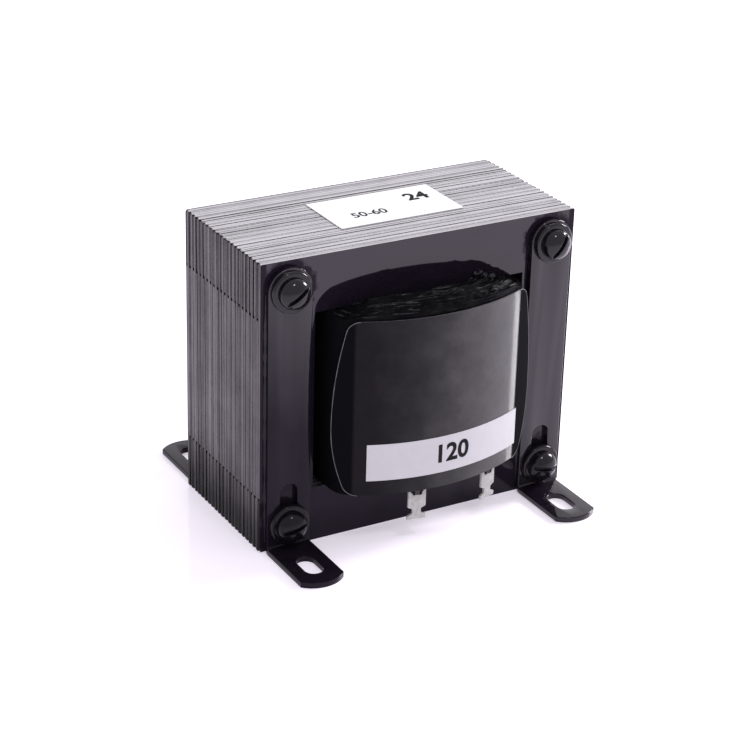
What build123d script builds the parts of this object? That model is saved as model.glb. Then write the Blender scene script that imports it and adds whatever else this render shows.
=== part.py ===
from build123d import *
import math
import os

# Open-frame chassis transformer, in millimetres. +Z is up and the front, with the
# supply lugs, faces -Y. The origin is in the plane of the four feet, below the
# middle of the core.

# Core: interleaved E and I stampings, tongue upright
tongue_width = 31.75
outer_leg = 15.875
yoke = 15.875
window_width = 15.875
window_height = 50.8
stack_depth = 44.45
book_count = 2
layers_per_book = 21
joint_step = 0.3
core_lift = 0.3

# Four formed brackets, each a strip on the core face with a foot bent outwards
sheet = 1.6
strip_width = 12.7
bend_radius = 0.8
foot_length = 23.6
foot_end_radius = 8.8
foot_slot_length = 9.6
foot_slot_width = 5.2
foot_slot_reach = 13.8
height_slot_travel = 9.0

# Through screws, washers and nuts
bolt_inset = 7.94
screw_diameter = 4.17
hole_clearance = 0.5
head_diameter = 8.6
head_height = 3.6
head_rim_height = 1.5
head_top_diameter = 4.8
driver_slot_width = 1.2
driver_slot_depth = 1.5
driver_slot_turns = (-35, -55, -14, 10)
washer_thickness = 1.6
washer_clearance = 0.2
washer_bend_gap = 0.1
nut_across_flats = 8.73
nut_thickness = 3.2
screw_tail = 1.6

# Coil on a paper tube round the tongue
tube_wall = 1.2
tube_side_gap = 0.3
winding_inner_corner = 1.0
wedge_thickness = 0.8
wedge_side_inset = 2.0
end_gap = 0.4
leg_gap = 3.4
face_bulge = 14.8
crown_radius = 56.5
corner_radius = 6.5
wrap_thickness = 1.0
inner_build = 5.0
barrier_thickness = 0.6
end_margin = 3.2
paper_step = 0.7
paper_step_from = 1.6
paper_step_to = 4.0

# Cover sheets glued over the two bulges of the coil, with bowed side edges
glue_film = 0.05
cover_thickness = 0.5
cover_edge_reach = 3.5
cover_edge_bow = 4.7

# Solder lugs under the coil ends, and the strips that feed the inner winding's lugs
lug_thickness = 0.8
lug_depth_in_coil = 1.8
lug_places = (-6.8, 16.8)
lug_tail_width = 1.6
lug_drop = 9.6
lug_body_width = 5.2
lug_body_height = 3.4
lug_horn_height = 1.5
lug_horn_width = 0.5
lug_neck_width = 2.5
lug_foot_width = 5.4
lug_foot_height = 1.1
lug_shoulder = 1.3
lead_width = 1.6
lead_thickness = 0.6
lead_depth_in_margin = 0.8

# Labels
label_thickness = 0.15
coil_label_low = 4.0
coil_label_height = 10.6
coil_label_from = -21.5
coil_label_to = 25.6
top_label_length = 37.5
top_label_width = 20.4
top_label_x = 1.7
top_label_y = 1.2

# Sizes that follow from those above
core_width = tongue_width + 2 * (window_width + outer_leg)
core_height = window_height + 2 * yoke
core_top = core_lift + core_height
core_middle = core_lift + core_height / 2
layer_depth = stack_depth / (book_count * layers_per_book)
face = stack_depth / 2

bolt_x = core_width / 2 - bolt_inset
bolt_low = core_lift + bolt_inset
bolt_high = core_top - bolt_inset
hole_radius = screw_diameter / 2 + hole_clearance
washer_diameter = 2 * (bolt_low - sheet - bend_radius - washer_bend_gap)

tube_half_width = tongue_width / 2 + tube_side_gap + tube_wall
tube_half_depth = face + wedge_thickness + tube_wall
coil_half_width = tongue_width / 2 + window_width - leg_gap
coil_half_depth = face + face_bulge
coil_height = window_height - 2 * end_gap
coil_bottom = core_middle - coil_height / 2
winding_bottom = coil_bottom + end_margin
winding_height = coil_height - 2 * end_margin
full_build = coil_half_width - wrap_thickness - tube_half_width


def upright_plate(outline, front_y, thickness):
    """A plate with its outline in X and Z, from front_y backwards."""
    return extrude(Plane.XZ.offset(-front_y) * outline, -thickness)


def layer_outline(yoke_up):
    """One layer of the stack: an E and the I that closes it, which sits back by a small step."""
    legs = Rectangle(core_width, core_height - yoke)
    legs = Pos(0, yoke / 2 if yoke_up else -yoke / 2) * legs
    closing = Rectangle(core_width - 2 * joint_step, yoke - joint_step)
    closing_place = core_height / 2 - yoke / 2 - joint_step / 2
    closing = Pos(0, -closing_place if yoke_up else closing_place) * closing
    outline = legs + closing
    window_place = tongue_width / 2 + window_width / 2
    for side in (-1, 1):
        outline -= Pos(side * window_place, 0) * Rectangle(window_width, window_height)
        for end in (-1, 1):
            place = Pos(side * bolt_x, end * (core_height / 2 - bolt_inset))
            outline -= place * Circle(hole_radius)
    return Pos(0, core_middle) * outline


def lamination_book(number):
    """A book of alternating layers, bonded into one block by the dip."""
    layers = []
    for index in range(number * layers_per_book, (number + 1) * layers_per_book):
        outline = layer_outline(index % 2 == 1)
        layers.append(upright_plate(outline, -face + index * layer_depth, layer_depth))
    return layers[0].fuse(*layers[1:]).clean()


def bracket():
    """The front right bracket: a strip up the core face and a foot bent outwards."""
    strip_top = bolt_high + strip_width / 2
    corners = [(-face, 0), (-face, strip_top), (-face - sheet, strip_top), (-face - sheet, sheet),
               (-face - foot_length, sheet), (-face - foot_length, 0)]
    profile = make_face(Polyline(*corners, close=True))
    outer_bend = profile.vertices().sort_by(Axis.X)[-2:].sort_by(Axis.Y)[0]
    profile = fillet(outer_bend, bend_radius + sheet)
    inner_bend = [v for v in profile.vertices()
                  if abs(v.X + face + sheet) < 1e-6 and abs(v.Y - sheet) < 1e-6]
    profile = fillet(inner_bend, bend_radius)
    body = extrude(Plane.YZ.offset(bolt_x - strip_width / 2) * profile, strip_width)

    end_centre = -face - foot_length + foot_end_radius
    plan = Pos(bolt_x, (end_centre - face) / 2) * Rectangle(strip_width, -end_centre - face)
    plan += Pos(bolt_x, end_centre) * Circle(foot_end_radius)
    body &= extrude(plan, strip_top)

    front_view = Pos(bolt_x, bolt_high / 2) * Rectangle(strip_width, bolt_high)
    front_view += Pos(bolt_x, bolt_high) * Circle(strip_width / 2)
    body &= upright_plate(front_view, -face - foot_length, foot_length)

    slot = SlotCenterToCenter(height_slot_travel, 2 * hole_radius, rotation=90)
    openings = Pos(bolt_x, bolt_low + height_slot_travel / 2) * slot
    openings += Pos(bolt_x, bolt_high) * Circle(hole_radius)
    body -= upright_plate(openings, -face - 2 * sheet, 3 * sheet)
    foot_slot = SlotOverall(foot_slot_length, foot_slot_width, rotation=90)
    body -= extrude(Pos(bolt_x, -face - foot_slot_reach, -sheet) * foot_slot, 3 * sheet)
    return body


def bolt_places():
    """The four bolt axes in X and Z: top left, top right, bottom left, bottom right."""
    return [(side * bolt_x, height) for height in (bolt_high, bolt_low) for side in (-1, 1)]


def along_bolts(piece):
    """One copy of a piece, made about the Y axis, on each bolt axis."""
    return Compound([Pos(x, 0, z) * piece for x, z in bolt_places()])


def washer():
    ring = Circle(washer_diameter / 2) - Circle(screw_diameter / 2 + washer_clearance)
    return upright_plate(ring, -face - sheet - washer_thickness, washer_thickness)


def screw(slot_turn):
    """A slotted screw about the Y axis, its tapered head to the front."""
    seat = -face - sheet - washer_thickness
    tip = face + sheet + nut_thickness + screw_tail
    half = [(0, seat), (head_diameter / 2, seat), (head_diameter / 2, seat - head_rim_height),
            (head_top_diameter / 2, seat - head_height), (0, seat - head_height)]
    head = revolve(make_face(Polyline(*half, close=True)), Axis.Y)
    slot = Pos(0, seat - head_height, 0) * Box(2 * head_diameter, 2 * driver_slot_depth, driver_slot_width)
    head -= Rot(0, slot_turn, 0) * slot
    return head + upright_plate(Circle(screw_diameter / 2), seat, tip - seat)


def nut():
    across_corners = nut_across_flats / math.cos(math.pi / 6)
    outline = RegularPolygon(across_corners / 2, 6) - Circle(screw_diameter / 2)
    return upright_plate(outline, face + sheet, nut_thickness)


def crowned(half_width, half_depth, radius, corner):
    """A section with flat sides, a front and rear crowned to a radius, and rounded corners."""
    outline = Rectangle(2 * half_width, 2 * half_depth)
    for side in (-1, 1):
        outline &= Pos(0, side * (half_depth - radius)) * Circle(radius)
    return fillet(outline.vertices(), corner)


def coil_section(growth=0):
    """The coil's outer section, grown outwards all round."""
    return crowned(coil_half_width + growth, coil_half_depth + growth,
                   crown_radius + growth, corner_radius + growth)


def winding_section(build):
    """The section that the turns have reached, build being their thickness in the window."""
    share = build / full_build
    half_depth = tube_half_depth + share * (coil_half_depth - wrap_thickness - tube_half_depth)
    corner = winding_inner_corner + share * (corner_radius - wrap_thickness - winding_inner_corner)
    return RectangleRounded(2 * (tube_half_width + build), 2 * half_depth, corner)


def tube_section(growth=0):
    """The folded tube's outer section, grown outwards all round."""
    return Rectangle(2 * (tube_half_width + growth), 2 * (tube_half_depth + growth))


def stand(section, bottom, height):
    return extrude(Pos(0, 0, bottom) * section, height)


def end_margin_ring(at_top):
    """Paper margin beyond the wire, with some turns near the tube that end short."""
    base = coil_bottom + coil_height - end_margin if at_top else coil_bottom
    ring = stand(coil_section(-wrap_thickness) - tube_section(), base, end_margin)
    short_turns = tube_section(paper_step_to) - tube_section(paper_step_from)
    low = base + end_margin - paper_step if at_top else base
    return ring - stand(short_turns, low, paper_step)


def cover_sheet():
    """The front cover: it follows the crown and ends in a bowed edge on each side."""
    sheet_ring = coil_section(glue_film + cover_thickness) - coil_section(glue_film)
    band = stand(sheet_ring, coil_bottom, coil_height)
    half_height = coil_height / 2
    edge_radius = (half_height ** 2 + cover_edge_bow ** 2) / (2 * cover_edge_bow)
    edge_centre = -face - cover_edge_reach - edge_radius
    cutter = Rot(0, 90, 0) * Cylinder(edge_radius, 2 * core_width)
    return band & Pos(0, edge_centre, core_middle) * cutter


def lug_profile():
    """Flat solder lug seen from the front: tail, horns, body, neck and foot, hanging from z = 0."""
    low = -lug_drop
    neck_bottom = low + lug_foot_height
    body_bottom = neck_bottom + 2 * lug_shoulder
    body_top = body_bottom + lug_body_height
    right = [
        (lug_tail_width / 2, end_margin),
        (lug_tail_width / 2, body_top),
        (lug_body_width / 2 - lug_horn_width, body_top + lug_horn_height),
        (lug_body_width / 2, body_top + lug_horn_height),
        (lug_body_width / 2, body_bottom),
        (lug_neck_width / 2, body_bottom - lug_shoulder / 2),
        (lug_neck_width / 2, neck_bottom + lug_shoulder / 2),
        (lug_foot_width / 2, neck_bottom),
        (lug_foot_width / 2, low),
    ]
    left = [(-x, z) for x, z in reversed(right)]
    return make_face(Polyline(*right, *left, close=True))


def crown_depth(x):
    """How far the coil's front lies ahead of the origin at a given X."""
    return coil_half_depth - crown_radius + math.sqrt(crown_radius ** 2 - x ** 2)


def lugs():
    """The two lugs of the front, each just inside the wrap and turned with the crown."""
    pieces = []
    for x in lug_places:
        depth = crown_depth(x) - lug_depth_in_coil
        plate = upright_plate(lug_profile(), -lug_thickness / 2, lug_thickness)
        turn = math.degrees(math.asin(x / crown_radius))
        pieces.append(Pos(x, -depth, coil_bottom) * Rot(0, 0, turn) * plate)
    return pieces


def inner_leads():
    """Strips in the lower margin from the inner winding's end to the tails of two lugs."""
    pieces = []
    for x, lug in zip(lug_places, lugs()):
        lug_y = -crown_depth(x) + lug_depth_in_coil
        inner_y = -tube_half_depth - lead_thickness
        low = winding_bottom - lead_depth_in_margin - lead_thickness
        path = [(lug_y, low), (inner_y, low), (inner_y, winding_bottom),
                (inner_y - lead_thickness, winding_bottom),
                (inner_y - lead_thickness, low + lead_thickness), (lug_y, low + lead_thickness)]
        strip = extrude(Plane.YZ.offset(x - lead_width / 2) * make_face(Polyline(*path, close=True)), lead_width)
        pieces.append(strip - lug)
    return pieces


def rear(piece):
    return Rot(0, 0, 180) * piece


def coil_label():
    below = glue_film + cover_thickness
    ring = coil_section(below + label_thickness) - coil_section(below)
    band = stand(ring, coil_bottom + coil_label_low, coil_label_height)
    middle = (coil_label_from + coil_label_to) / 2
    window = Box(coil_label_to - coil_label_from, coil_half_depth, core_height)
    return band & Pos(middle, -coil_half_depth, core_middle) * window


def top_label():
    outline = Pos(top_label_x, top_label_y) * Rectangle(top_label_length, top_label_width)
    return stand(outline, core_top, label_thickness)


def wedges():
    """Strips driven in between the tongue and the tube, front and rear."""
    strip = Rectangle(tongue_width - 2 * wedge_side_inset, coil_height)
    strip = Pos(0, core_middle) * strip
    front = upright_plate(strip, -face - wedge_thickness, wedge_thickness)
    return Compound([front, rear(front)])


def build_parts():
    parts = {}
    for number in range(book_count):
        parts[f"lamination_book_{number + 1}"] = lamination_book(number)

    right = bracket()
    left = mirror(right, Plane.YZ)
    parts["bracket_front_left"] = left
    parts["bracket_front_right"] = right
    parts["bracket_rear_left"] = rear(right)
    parts["bracket_rear_right"] = rear(left)

    screws = [Pos(x, 0, z) * screw(turn)
              for (x, z), turn in zip(bolt_places(), driver_slot_turns)]
    parts["clamp_screws"] = Compound(screws)
    parts["screw_washers"] = along_bolts(washer())
    parts["clamp_nuts"] = along_bolts(nut())

    parts["winding_tube"] = stand(tube_section() - tube_section(-tube_wall), coil_bottom, coil_height)
    parts["tongue_wedges"] = wedges()
    inner_outside = winding_section(inner_build)
    barrier_outside = winding_section(inner_build + barrier_thickness)
    outer_outside = coil_section(-wrap_thickness)
    parts["inner_winding"] = stand(inner_outside - tube_section(), winding_bottom, winding_height)
    parts["winding_barrier"] = stand(barrier_outside - inner_outside, winding_bottom, winding_height)
    parts["outer_winding"] = stand(outer_outside - barrier_outside, winding_bottom, winding_height)
    parts["coil_wrap"] = stand(coil_section() - outer_outside, coil_bottom, coil_height)

    front_lugs = lugs()
    rear_lugs = [rear(lug) for lug in front_lugs]
    leads = [rear(lead) for lead in inner_leads()]
    lower_margin = end_margin_ring(False)
    for piece in front_lugs + rear_lugs + leads:
        lower_margin -= piece
    parts["end_margin_top"] = end_margin_ring(True)
    parts["end_margin_bottom"] = lower_margin
    parts["supply_lugs"] = Compound(front_lugs)
    parts["output_lugs"] = Compound(rear_lugs)
    parts["inner_leads"] = Compound(leads)
    parts["cover_sheet_front"] = cover_sheet()
    parts["cover_sheet_rear"] = rear(cover_sheet())

    parts["coil_label"] = coil_label()
    parts["top_label"] = top_label()
    return parts


os.makedirs("parts", exist_ok=True)
for name, solid in build_parts().items():
    export_step(solid, f"parts/{name}.step")
    print(name)
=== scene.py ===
import bpy
import bmesh
import math
from mathutils import Matrix, Vector, noise


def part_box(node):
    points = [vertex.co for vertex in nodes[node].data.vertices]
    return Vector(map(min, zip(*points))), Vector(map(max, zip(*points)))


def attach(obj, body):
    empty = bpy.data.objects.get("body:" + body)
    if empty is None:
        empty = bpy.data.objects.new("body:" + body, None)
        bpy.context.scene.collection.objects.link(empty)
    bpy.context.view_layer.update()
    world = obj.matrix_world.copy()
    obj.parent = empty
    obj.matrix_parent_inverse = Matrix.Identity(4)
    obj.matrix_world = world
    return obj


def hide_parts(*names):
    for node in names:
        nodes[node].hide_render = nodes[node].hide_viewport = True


# Open-frame chassis transformer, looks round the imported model: metres, +Z up, front towards -Y

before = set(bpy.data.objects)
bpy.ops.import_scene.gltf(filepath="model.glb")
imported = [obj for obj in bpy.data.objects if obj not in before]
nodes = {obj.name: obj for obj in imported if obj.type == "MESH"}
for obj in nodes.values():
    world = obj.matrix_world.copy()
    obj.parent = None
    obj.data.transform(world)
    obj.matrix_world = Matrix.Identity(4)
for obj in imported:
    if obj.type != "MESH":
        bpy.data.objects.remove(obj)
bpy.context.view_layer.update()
mm = 0.001
print("frame:", len(nodes), "nodes")


def span(*names):
    corners = [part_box(name) for name in names]
    low = Vector([min(corner[0][axis] for corner in corners) for axis in range(3)])
    high = Vector([max(corner[1][axis] for corner in corners) for axis in range(3)])
    return low, high


coreNodes = sorted(name for name in nodes if name.startswith("lamination_book"))
coreLow, coreHigh = span(*coreNodes)
coreMid = (coreLow + coreHigh) / 2
coreFace = coreHigh.y
coilLow, coilHigh = span("coil_wrap")
coilMidZ = (coilLow.z + coilHigh.z) / 2


# One output of a node, which takes part in sums
class Wire:
    def __init__(self, book, socket):
        self.book = book
        self.socket = socket

    def __add__(self, other):
        return self.book.calc("ADD", self, other)

    def __radd__(self, other):
        return self.book.calc("ADD", other, self)

    def __sub__(self, other):
        return self.book.calc("SUBTRACT", self, other)

    def __rsub__(self, other):
        return self.book.calc("SUBTRACT", other, self)

    def __mul__(self, other):
        return self.book.calc("MULTIPLY", self, other)

    def __rmul__(self, other):
        return self.book.calc("MULTIPLY", other, self)

    def __truediv__(self, other):
        return self.book.calc("DIVIDE", self, other)

    def __pow__(self, other):
        return self.book.calc("POWER", self, other)

    def __abs__(self):
        return self.book.calc("ABSOLUTE", self)


# A node tree that is being drawn
class NodeBook:
    def __init__(self, tree):
        self.tree = tree

    def node(self, kind, settings=None, inputs=None, output=0):
        made = self.tree.nodes.new(kind)
        for name, value in (settings or {}).items():
            if name == "stops":
                points = made.color_ramp.elements
                while len(points) < len(value):
                    points.new(0.5)
                for point, (place, shade) in zip(points, value):
                    point.position = place
                    point.color = (shade, shade, shade, 1)
            else:
                setattr(made, name, value)
        for name, value in (inputs or {}).items():
            if isinstance(value, Wire):
                self.tree.links.new(value.socket, made.inputs[name])
            elif isinstance(value, list):
                for wire in value:
                    self.tree.links.new(wire.socket, made.inputs[name])
            else:
                made.inputs[name].default_value = value
        return Wire(self, made.outputs[output])

    def calc(self, operation, first, second=0.0):
        return self.node("ShaderNodeMath", {"operation": operation}, {0: first, 1: second})

    def vector(self, operation, first, second, name=1):
        return self.node("ShaderNodeVectorMath", {"operation": operation}, {0: first, name: second})

    def parts(self, vector):
        made = self.node("ShaderNodeSeparateXYZ", None, {0: vector})
        return [Wire(self, socket) for socket in made.socket.node.outputs]


class Finish(NodeBook):
    def __init__(self, name):
        self.material = bpy.data.materials.new(name)
        self.material.use_nodes = True
        super().__init__(self.material.node_tree)
        self.tree.nodes.clear()
        self.place = self.node("ShaderNodeTexCoord", output="Object")
        self.facing = self.node("ShaderNodeTexCoord", output="Normal")

    # Noise whose grain is given in millimetres along each axis
    def grain(self, size, detail=3.0, roughness=0.5, warp=0.0):
        sizes = size if isinstance(size, tuple) else (size,) * 3
        place = self.vector("MULTIPLY", self.place, tuple(1 / (mm * each) for each in sizes))
        return self.node("ShaderNodeTexNoise", None, {"Vector": place, "Scale": 1.0, "Detail": detail,
                                                      "Roughness": roughness, "Distortion": warp})

    def ramp(self, value, *stops):
        return self.node("ShaderNodeValToRGB", {"stops": stops}, {0: value})

    def blend(self, share, first, second):
        return self.node("ShaderNodeMix", {"data_type": "RGBA"}, {0: share, 6: first, 7: second}, output=2)

    def bump(self, height, distance, strength=1.0, onto=None):
        inputs = {"Height": height, "Distance": distance, "Strength": strength}
        if onto:
            inputs["Normal"] = onto
        return self.node("ShaderNodeBump", None, inputs)

    def close(self, looks):
        surface = self.node("ShaderNodeBsdfPrincipled", None, looks)
        sink = self.tree.nodes.new("ShaderNodeOutputMaterial")
        self.tree.links.new(surface.socket, sink.inputs["Surface"])
        return self.material


class Growth(NodeBook):
    kinds = {"whole": "NodeSocketInt", "number": "NodeSocketFloat", "object": "NodeSocketObject",
             "material": "NodeSocketMaterial"}

    def __init__(self, name, sockets):
        tree = bpy.data.node_groups.new(name, "GeometryNodeTree")
        tree.interface.new_socket("Geometry", in_out="INPUT", socket_type="NodeSocketGeometry")
        tree.interface.new_socket("Geometry", in_out="OUTPUT", socket_type="NodeSocketGeometry")
        for title, kind in sockets.items():
            tree.interface.new_socket(title, in_out="INPUT", socket_type=self.kinds[kind])
        super().__init__(tree)
        group = tree.nodes.new("NodeGroupInput")
        self.given = {socket.name: Wire(self, socket) for socket in group.outputs if socket.name}

    def piece(self, source):
        return self.node("GeometryNodeObjectInfo", None, {"Object": self.given[source]}, output="Geometry")

    def close(self, geometry):
        real = self.node("GeometryNodeRealizeInstances", None, {0: geometry})
        painted = self.node("GeometryNodeSetMaterial", None, {"Geometry": real,
                                                              "Material": self.given["Finish"]})
        out = self.tree.nodes.new("NodeGroupOutput")
        self.tree.links.new(painted.socket, out.inputs[0])
        return self.tree


# The mesh that an object's modifiers, or its curve, come to
def finalMesh(piece):
    return bpy.data.meshes.new_from_object(piece.evaluated_get(bpy.context.evaluated_depsgraph_get()))


def baked(piece):
    mesh = finalMesh(piece)
    piece.modifiers.clear()
    piece.data = mesh
    mesh.name = piece.name
    return piece


# Runs a geometry tree on a base object and leaves a plain mesh
def grow(base, tree, values):
    modifier = base.modifiers.new("growth", "NODES")
    modifier.node_group = tree
    for item in tree.interface.items_tree:
        if item.in_out == "INPUT" and item.name in values:
            modifier[item.identifier] = values[item.name]
    return baked(base)


def scaled(colour, share):
    return tuple(share * part for part in colour[:3]) + (1,)


def newObject(name, mesh):
    made = bpy.data.objects.new(name, mesh)
    bpy.context.scene.collection.objects.link(made)
    return made


def fromBmesh(name, shape, finish=None, smooth=False):
    mesh = bpy.data.meshes.new(name)
    shape.to_mesh(mesh)
    shape.free()
    if finish:
        mesh.materials.append(finish)
    mesh.shade_smooth() if smooth else mesh.shade_flat()
    return newObject(name, mesh)


# Applies modifiers given as (type, settings) and leaves a plain mesh
def worked(piece, *steps):
    for kind, settings in steps:
        modifier = piece.modifiers.new(kind.lower(), kind)
        for name, value in settings.items():
            setattr(modifier, name, value)
    return baked(piece)


def smoothByAngle(piece, degrees):
    piece.data.shade_smooth()
    piece.data.set_sharp_from_angle(angle=math.radians(degrees))
    return piece


def discard(*pieces):
    for piece in pieces:
        bpy.data.objects.remove(piece)


def outward(shape):
    bmesh.ops.recalc_face_normals(shape, faces=shape.faces[:])
    return shape


# Closed rings of equal length, joined by faces
def bridge(shape, rings):
    for near, far in zip(rings, rings[1:]):
        for index in range(len(near)):
            shape.faces.new((near[index - 1], near[index], far[index], far[index - 1]))


def settle(piece, slot, *replaced):
    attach(piece, "root")
    if replaced:
        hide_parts(*replaced)
    return piece


# The photograph's viewpoint, fitted to the core's corners
cameraView = {
    "aim": (0.0, 3.175 * mm, 39.99 * mm),
    "azimuth": -30.12,
    "elevation": 24.649,
    "roll": 1.609,
    "distance": 617.5 * mm,
    "slideRight": 0.922 * mm,
    "slideUp": -6.951 * mm,
    "lens": 106.658,
    "sensor": 36.0,
}


def placeCamera(view):
    around, above, roll = (math.radians(view[key]) for key in ("azimuth", "elevation", "roll"))
    back = Vector((math.sin(around) * math.cos(above), -math.cos(around) * math.cos(above), math.sin(above)))
    level = Vector((0, 0, 1)).cross(back).normalized()
    upright = back.cross(level)
    right = math.cos(roll) * level + math.sin(roll) * upright
    up = back.cross(right)
    spot = Vector(view["aim"]) + back * view["distance"] + right * view["slideRight"] + up * view["slideUp"]
    data = bpy.data.cameras.new("photo_camera")
    data.lens = view["lens"]
    data.sensor_width = view["sensor"]
    data.clip_start = 10 * mm
    camera = newObject("photo_camera", data)
    turn = Matrix((right, up, back)).transposed()
    camera.matrix_world = Matrix.Translation(spot) @ turn.to_4x4()
    bpy.context.scene.camera = camera


placeCamera(cameraView)

studio = {
    "floorSize": 6.0,
    "floorColour": (0.937, 0.885, 0.972, 1),
    "floorMottle": 0.985,
    "floorRoughness": 0.75,
    "floorCoat": 0.6,
    "floorGloss": 0.10,
    "floorGlow": 0.42,
    "worldColour": (0.967, 0.952, 0.99, 1),
    "worldStrength": 0.78,
    "lights": [
        # name, place, aim, size, power, colour
        ("right_box", (0.85, -0.03, 0.41), (0.02, -0.02, 0.03), 0.27, 8.5, (1.0, 0.985, 1.0)),
        ("back_box", (0.42, 0.78, 0.62), (0, 0, 0.05), 0.8, 1.0, (1.0, 0.99, 1.0)),
        ("front_box", (0.0, -0.62, 0.98), (0, 0, 0.04), 0.16, 1.6, (1.0, 0.99, 1.0)),
    ],
}


def buildStudio(setup):
    half = setup["floorSize"] / 2
    shape = bmesh.new()
    bmesh.ops.create_grid(shape, x_segments=1, y_segments=1, size=half)
    finish = Finish("studio_floor")
    mottle = finish.grain(90.0)
    pale = setup["floorColour"]
    floor = fromBmesh("studio_floor", shape, finish.close({
        "Base Color": finish.blend(mottle, pale, scaled(pale, setup["floorMottle"])),
        "Roughness": setup["floorRoughness"],
        "Coat Weight": setup["floorCoat"], "Coat Roughness": setup["floorGloss"],
        "Emission Color": pale, "Emission Strength": setup["floorGlow"]}))  # like a lit acrylic table
    for name, place, aim, size, power, colour in setup["lights"]:
        data = bpy.data.lights.new(name, "AREA")
        data.size = size
        data.energy = power
        data.color = colour
        lamp = newObject(name, data)
        lamp.location = place
        lamp.rotation_euler = (Vector(aim) - Vector(place)).to_track_quat("-Z", "Y").to_euler()
        lamp.visible_camera = False
    world = bpy.data.worlds.new("studio")
    world.use_nodes = True
    backdrop = world.node_tree.nodes["Background"]
    backdrop.inputs["Color"].default_value = setup["worldColour"]
    backdrop.inputs["Strength"].default_value = setup["worldStrength"]
    bpy.context.scene.world = world
    bpy.context.scene.view_settings.view_transform = "Standard"


buildStudio(studio)
print("camera and studio")


# Finishes

steelLook = {
    "topDark": (0.34, 0.33, 0.35, 1),
    "topLight": (0.62, 0.60, 0.635, 1),
    # The side colours are the top's steel painted darker: painted shade on the flanks
    "shadedSideDark": (0.032, 0.029, 0.034, 1),
    "shadedSideLight": (0.18, 0.163, 0.178, 1),
    "varnish": (0.008, 0.007, 0.009, 1),
    # Painted shade: how dark the flanks get towards the floor
    "floorShadeTone": 0.04,
    "grainShift": (7.37 * mm, 3.171 * mm, 5.93 * mm),
}


def steelFinish(look):
    finish = Finish("core_steel")
    shade = finish.node("ShaderNodeAttribute", {"attribute_name": "shade"}, output="Fac")
    z = finish.parts(finish.place)[2]
    finish.place = finish.vector("ADD", finish.place, look["grainShift"])  # no seam in the middle planes
    streaks = finish.grain((30.0, 0.5, 30.0), detail=4.0, roughness=0.6)
    scratches = finish.grain((6.0, 0.14, 6.0), detail=2.0)
    blotches = finish.grain(9.0, detail=3.0)
    specks = finish.grain(0.5, detail=2.0)
    tone = shade * 0.5 + 0.1 + (streaks - 0.5) * 0.8 + (blotches - 0.5) * 0.4 + (specks - 0.5) * 0.3
    tone = tone + (scratches - 0.5) * 0.35
    across, depth = finish.parts(finish.facing)[:2]
    # Painted shade: faces that look sideways take the darker side colours, darkened further towards the floor
    side = finish.ramp(abs(across), (0.4, 0.0), (0.6, 1.0))
    top = finish.blend(finish.ramp(tone, (0.0, 0.0), (0.5, 1.0)), look["topDark"], look["topLight"])
    shadedFlank = finish.blend(finish.ramp(tone, (0.1, 0.0), (0.7, 1.0)), look["shadedSideDark"], look["shadedSideLight"])
    height = finish.ramp(z / coreHigh.z + (blotches - 0.5) * 0.1, (0.05, look["floorShadeTone"]), (0.25, 1.0))
    shadedFlank = finish.node("ShaderNodeMix", {"data_type": "RGBA", "blend_type": "MULTIPLY"},
                        {0: 1.0, 6: shadedFlank, 7: height}, output=2)
    dipped = finish.calc("GREATER_THAN", abs(depth), 0.7)
    colour = finish.blend(dipped, finish.blend(side, top, shadedFlank), look["varnish"])
    rough = 0.36 + streaks * 0.2
    return finish.close({"Base Color": colour, "Metallic": 0.92 - dipped * 0.92,
                         "Roughness": rough - dipped * 0.3,
                         "Normal": finish.bump(streaks, 0.03 * mm, 0.5)})


# Black dip varnish, its coat painted duller towards the feet and the left: painted shade in its reflections
def varnishFinish(name, colour, roughness, ripple, orange, gloss, lean, bare=None):
    finish = Finish(name)
    wave = finish.grain(16.0, detail=2.0)
    peel = finish.grain(1.1, detail=2.0)
    runs = finish.grain((3.5, 3.5, 45.0), detail=3.0)
    dust = finish.ramp(finish.grain(0.25, detail=1.0), (0.66, 0.0), (0.74, 1.0))
    bent = finish.bump(wave, ripple * mm, 1.0)
    bent = finish.bump(peel, orange * mm, 0.5, onto=bent)
    tone = finish.blend(finish.grain(7.0), colour, scaled(colour, 1.8))
    x, _, z = finish.parts(finish.place)
    # Painted shade: the coat weakens towards the bottom and the left, darkening the reflections there
    paintedSheenSpread = z / coreHigh.z + x / coreHigh.x * lean + (wave - 0.5) * 0.12 + (runs - 0.5) * 0.2
    coat = finish.ramp(paintedSheenSpread, (0.08, gloss[0]), (0.56, gloss[1]))
    if bare:
        across, upward = abs(x), abs(z - coreMid.z)
        ragged = (finish.grain(2.4, detail=4.0, roughness=0.7) - 0.5) * 6 * mm
        near = finish.calc("SQRT", (across - bare["x"]) ** 2.0 + (upward - bare["z"]) ** 2.0)
        outside = finish.ramp((near + ragged - bare["radius"]) / (4 * mm) + 0.5, (0.3, 0.0), (0.6, 1.0))
        beside = finish.ramp((bare["beside"] - across) / mm + 0.5, (0.3, 0.0), (0.7, 1.0))
        coat = coat * outside * beside
    return finish.close({"Base Color": tone, "Roughness": roughness + dust * 0.15 + (wave - 0.5) * 0.05,
                         "Normal": bent, "Specular IOR Level": 0.12, "Specular Tint": (0.9, 0.83, 1.0, 1),
                         "Coat Weight": coat, "Coat Roughness": 0.04, "Coat Tint": (0.97, 0.935, 1.0, 1)})


# The band's half width bounds the painted sheen; outside it the sheet carries painted shade
coverLook = {"dark": (0.003, 0.0028, 0.004, 1), "light": (0.0125, 0.0105, 0.0135, 1), "paintedSheenBand": 25.2 * mm}


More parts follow.
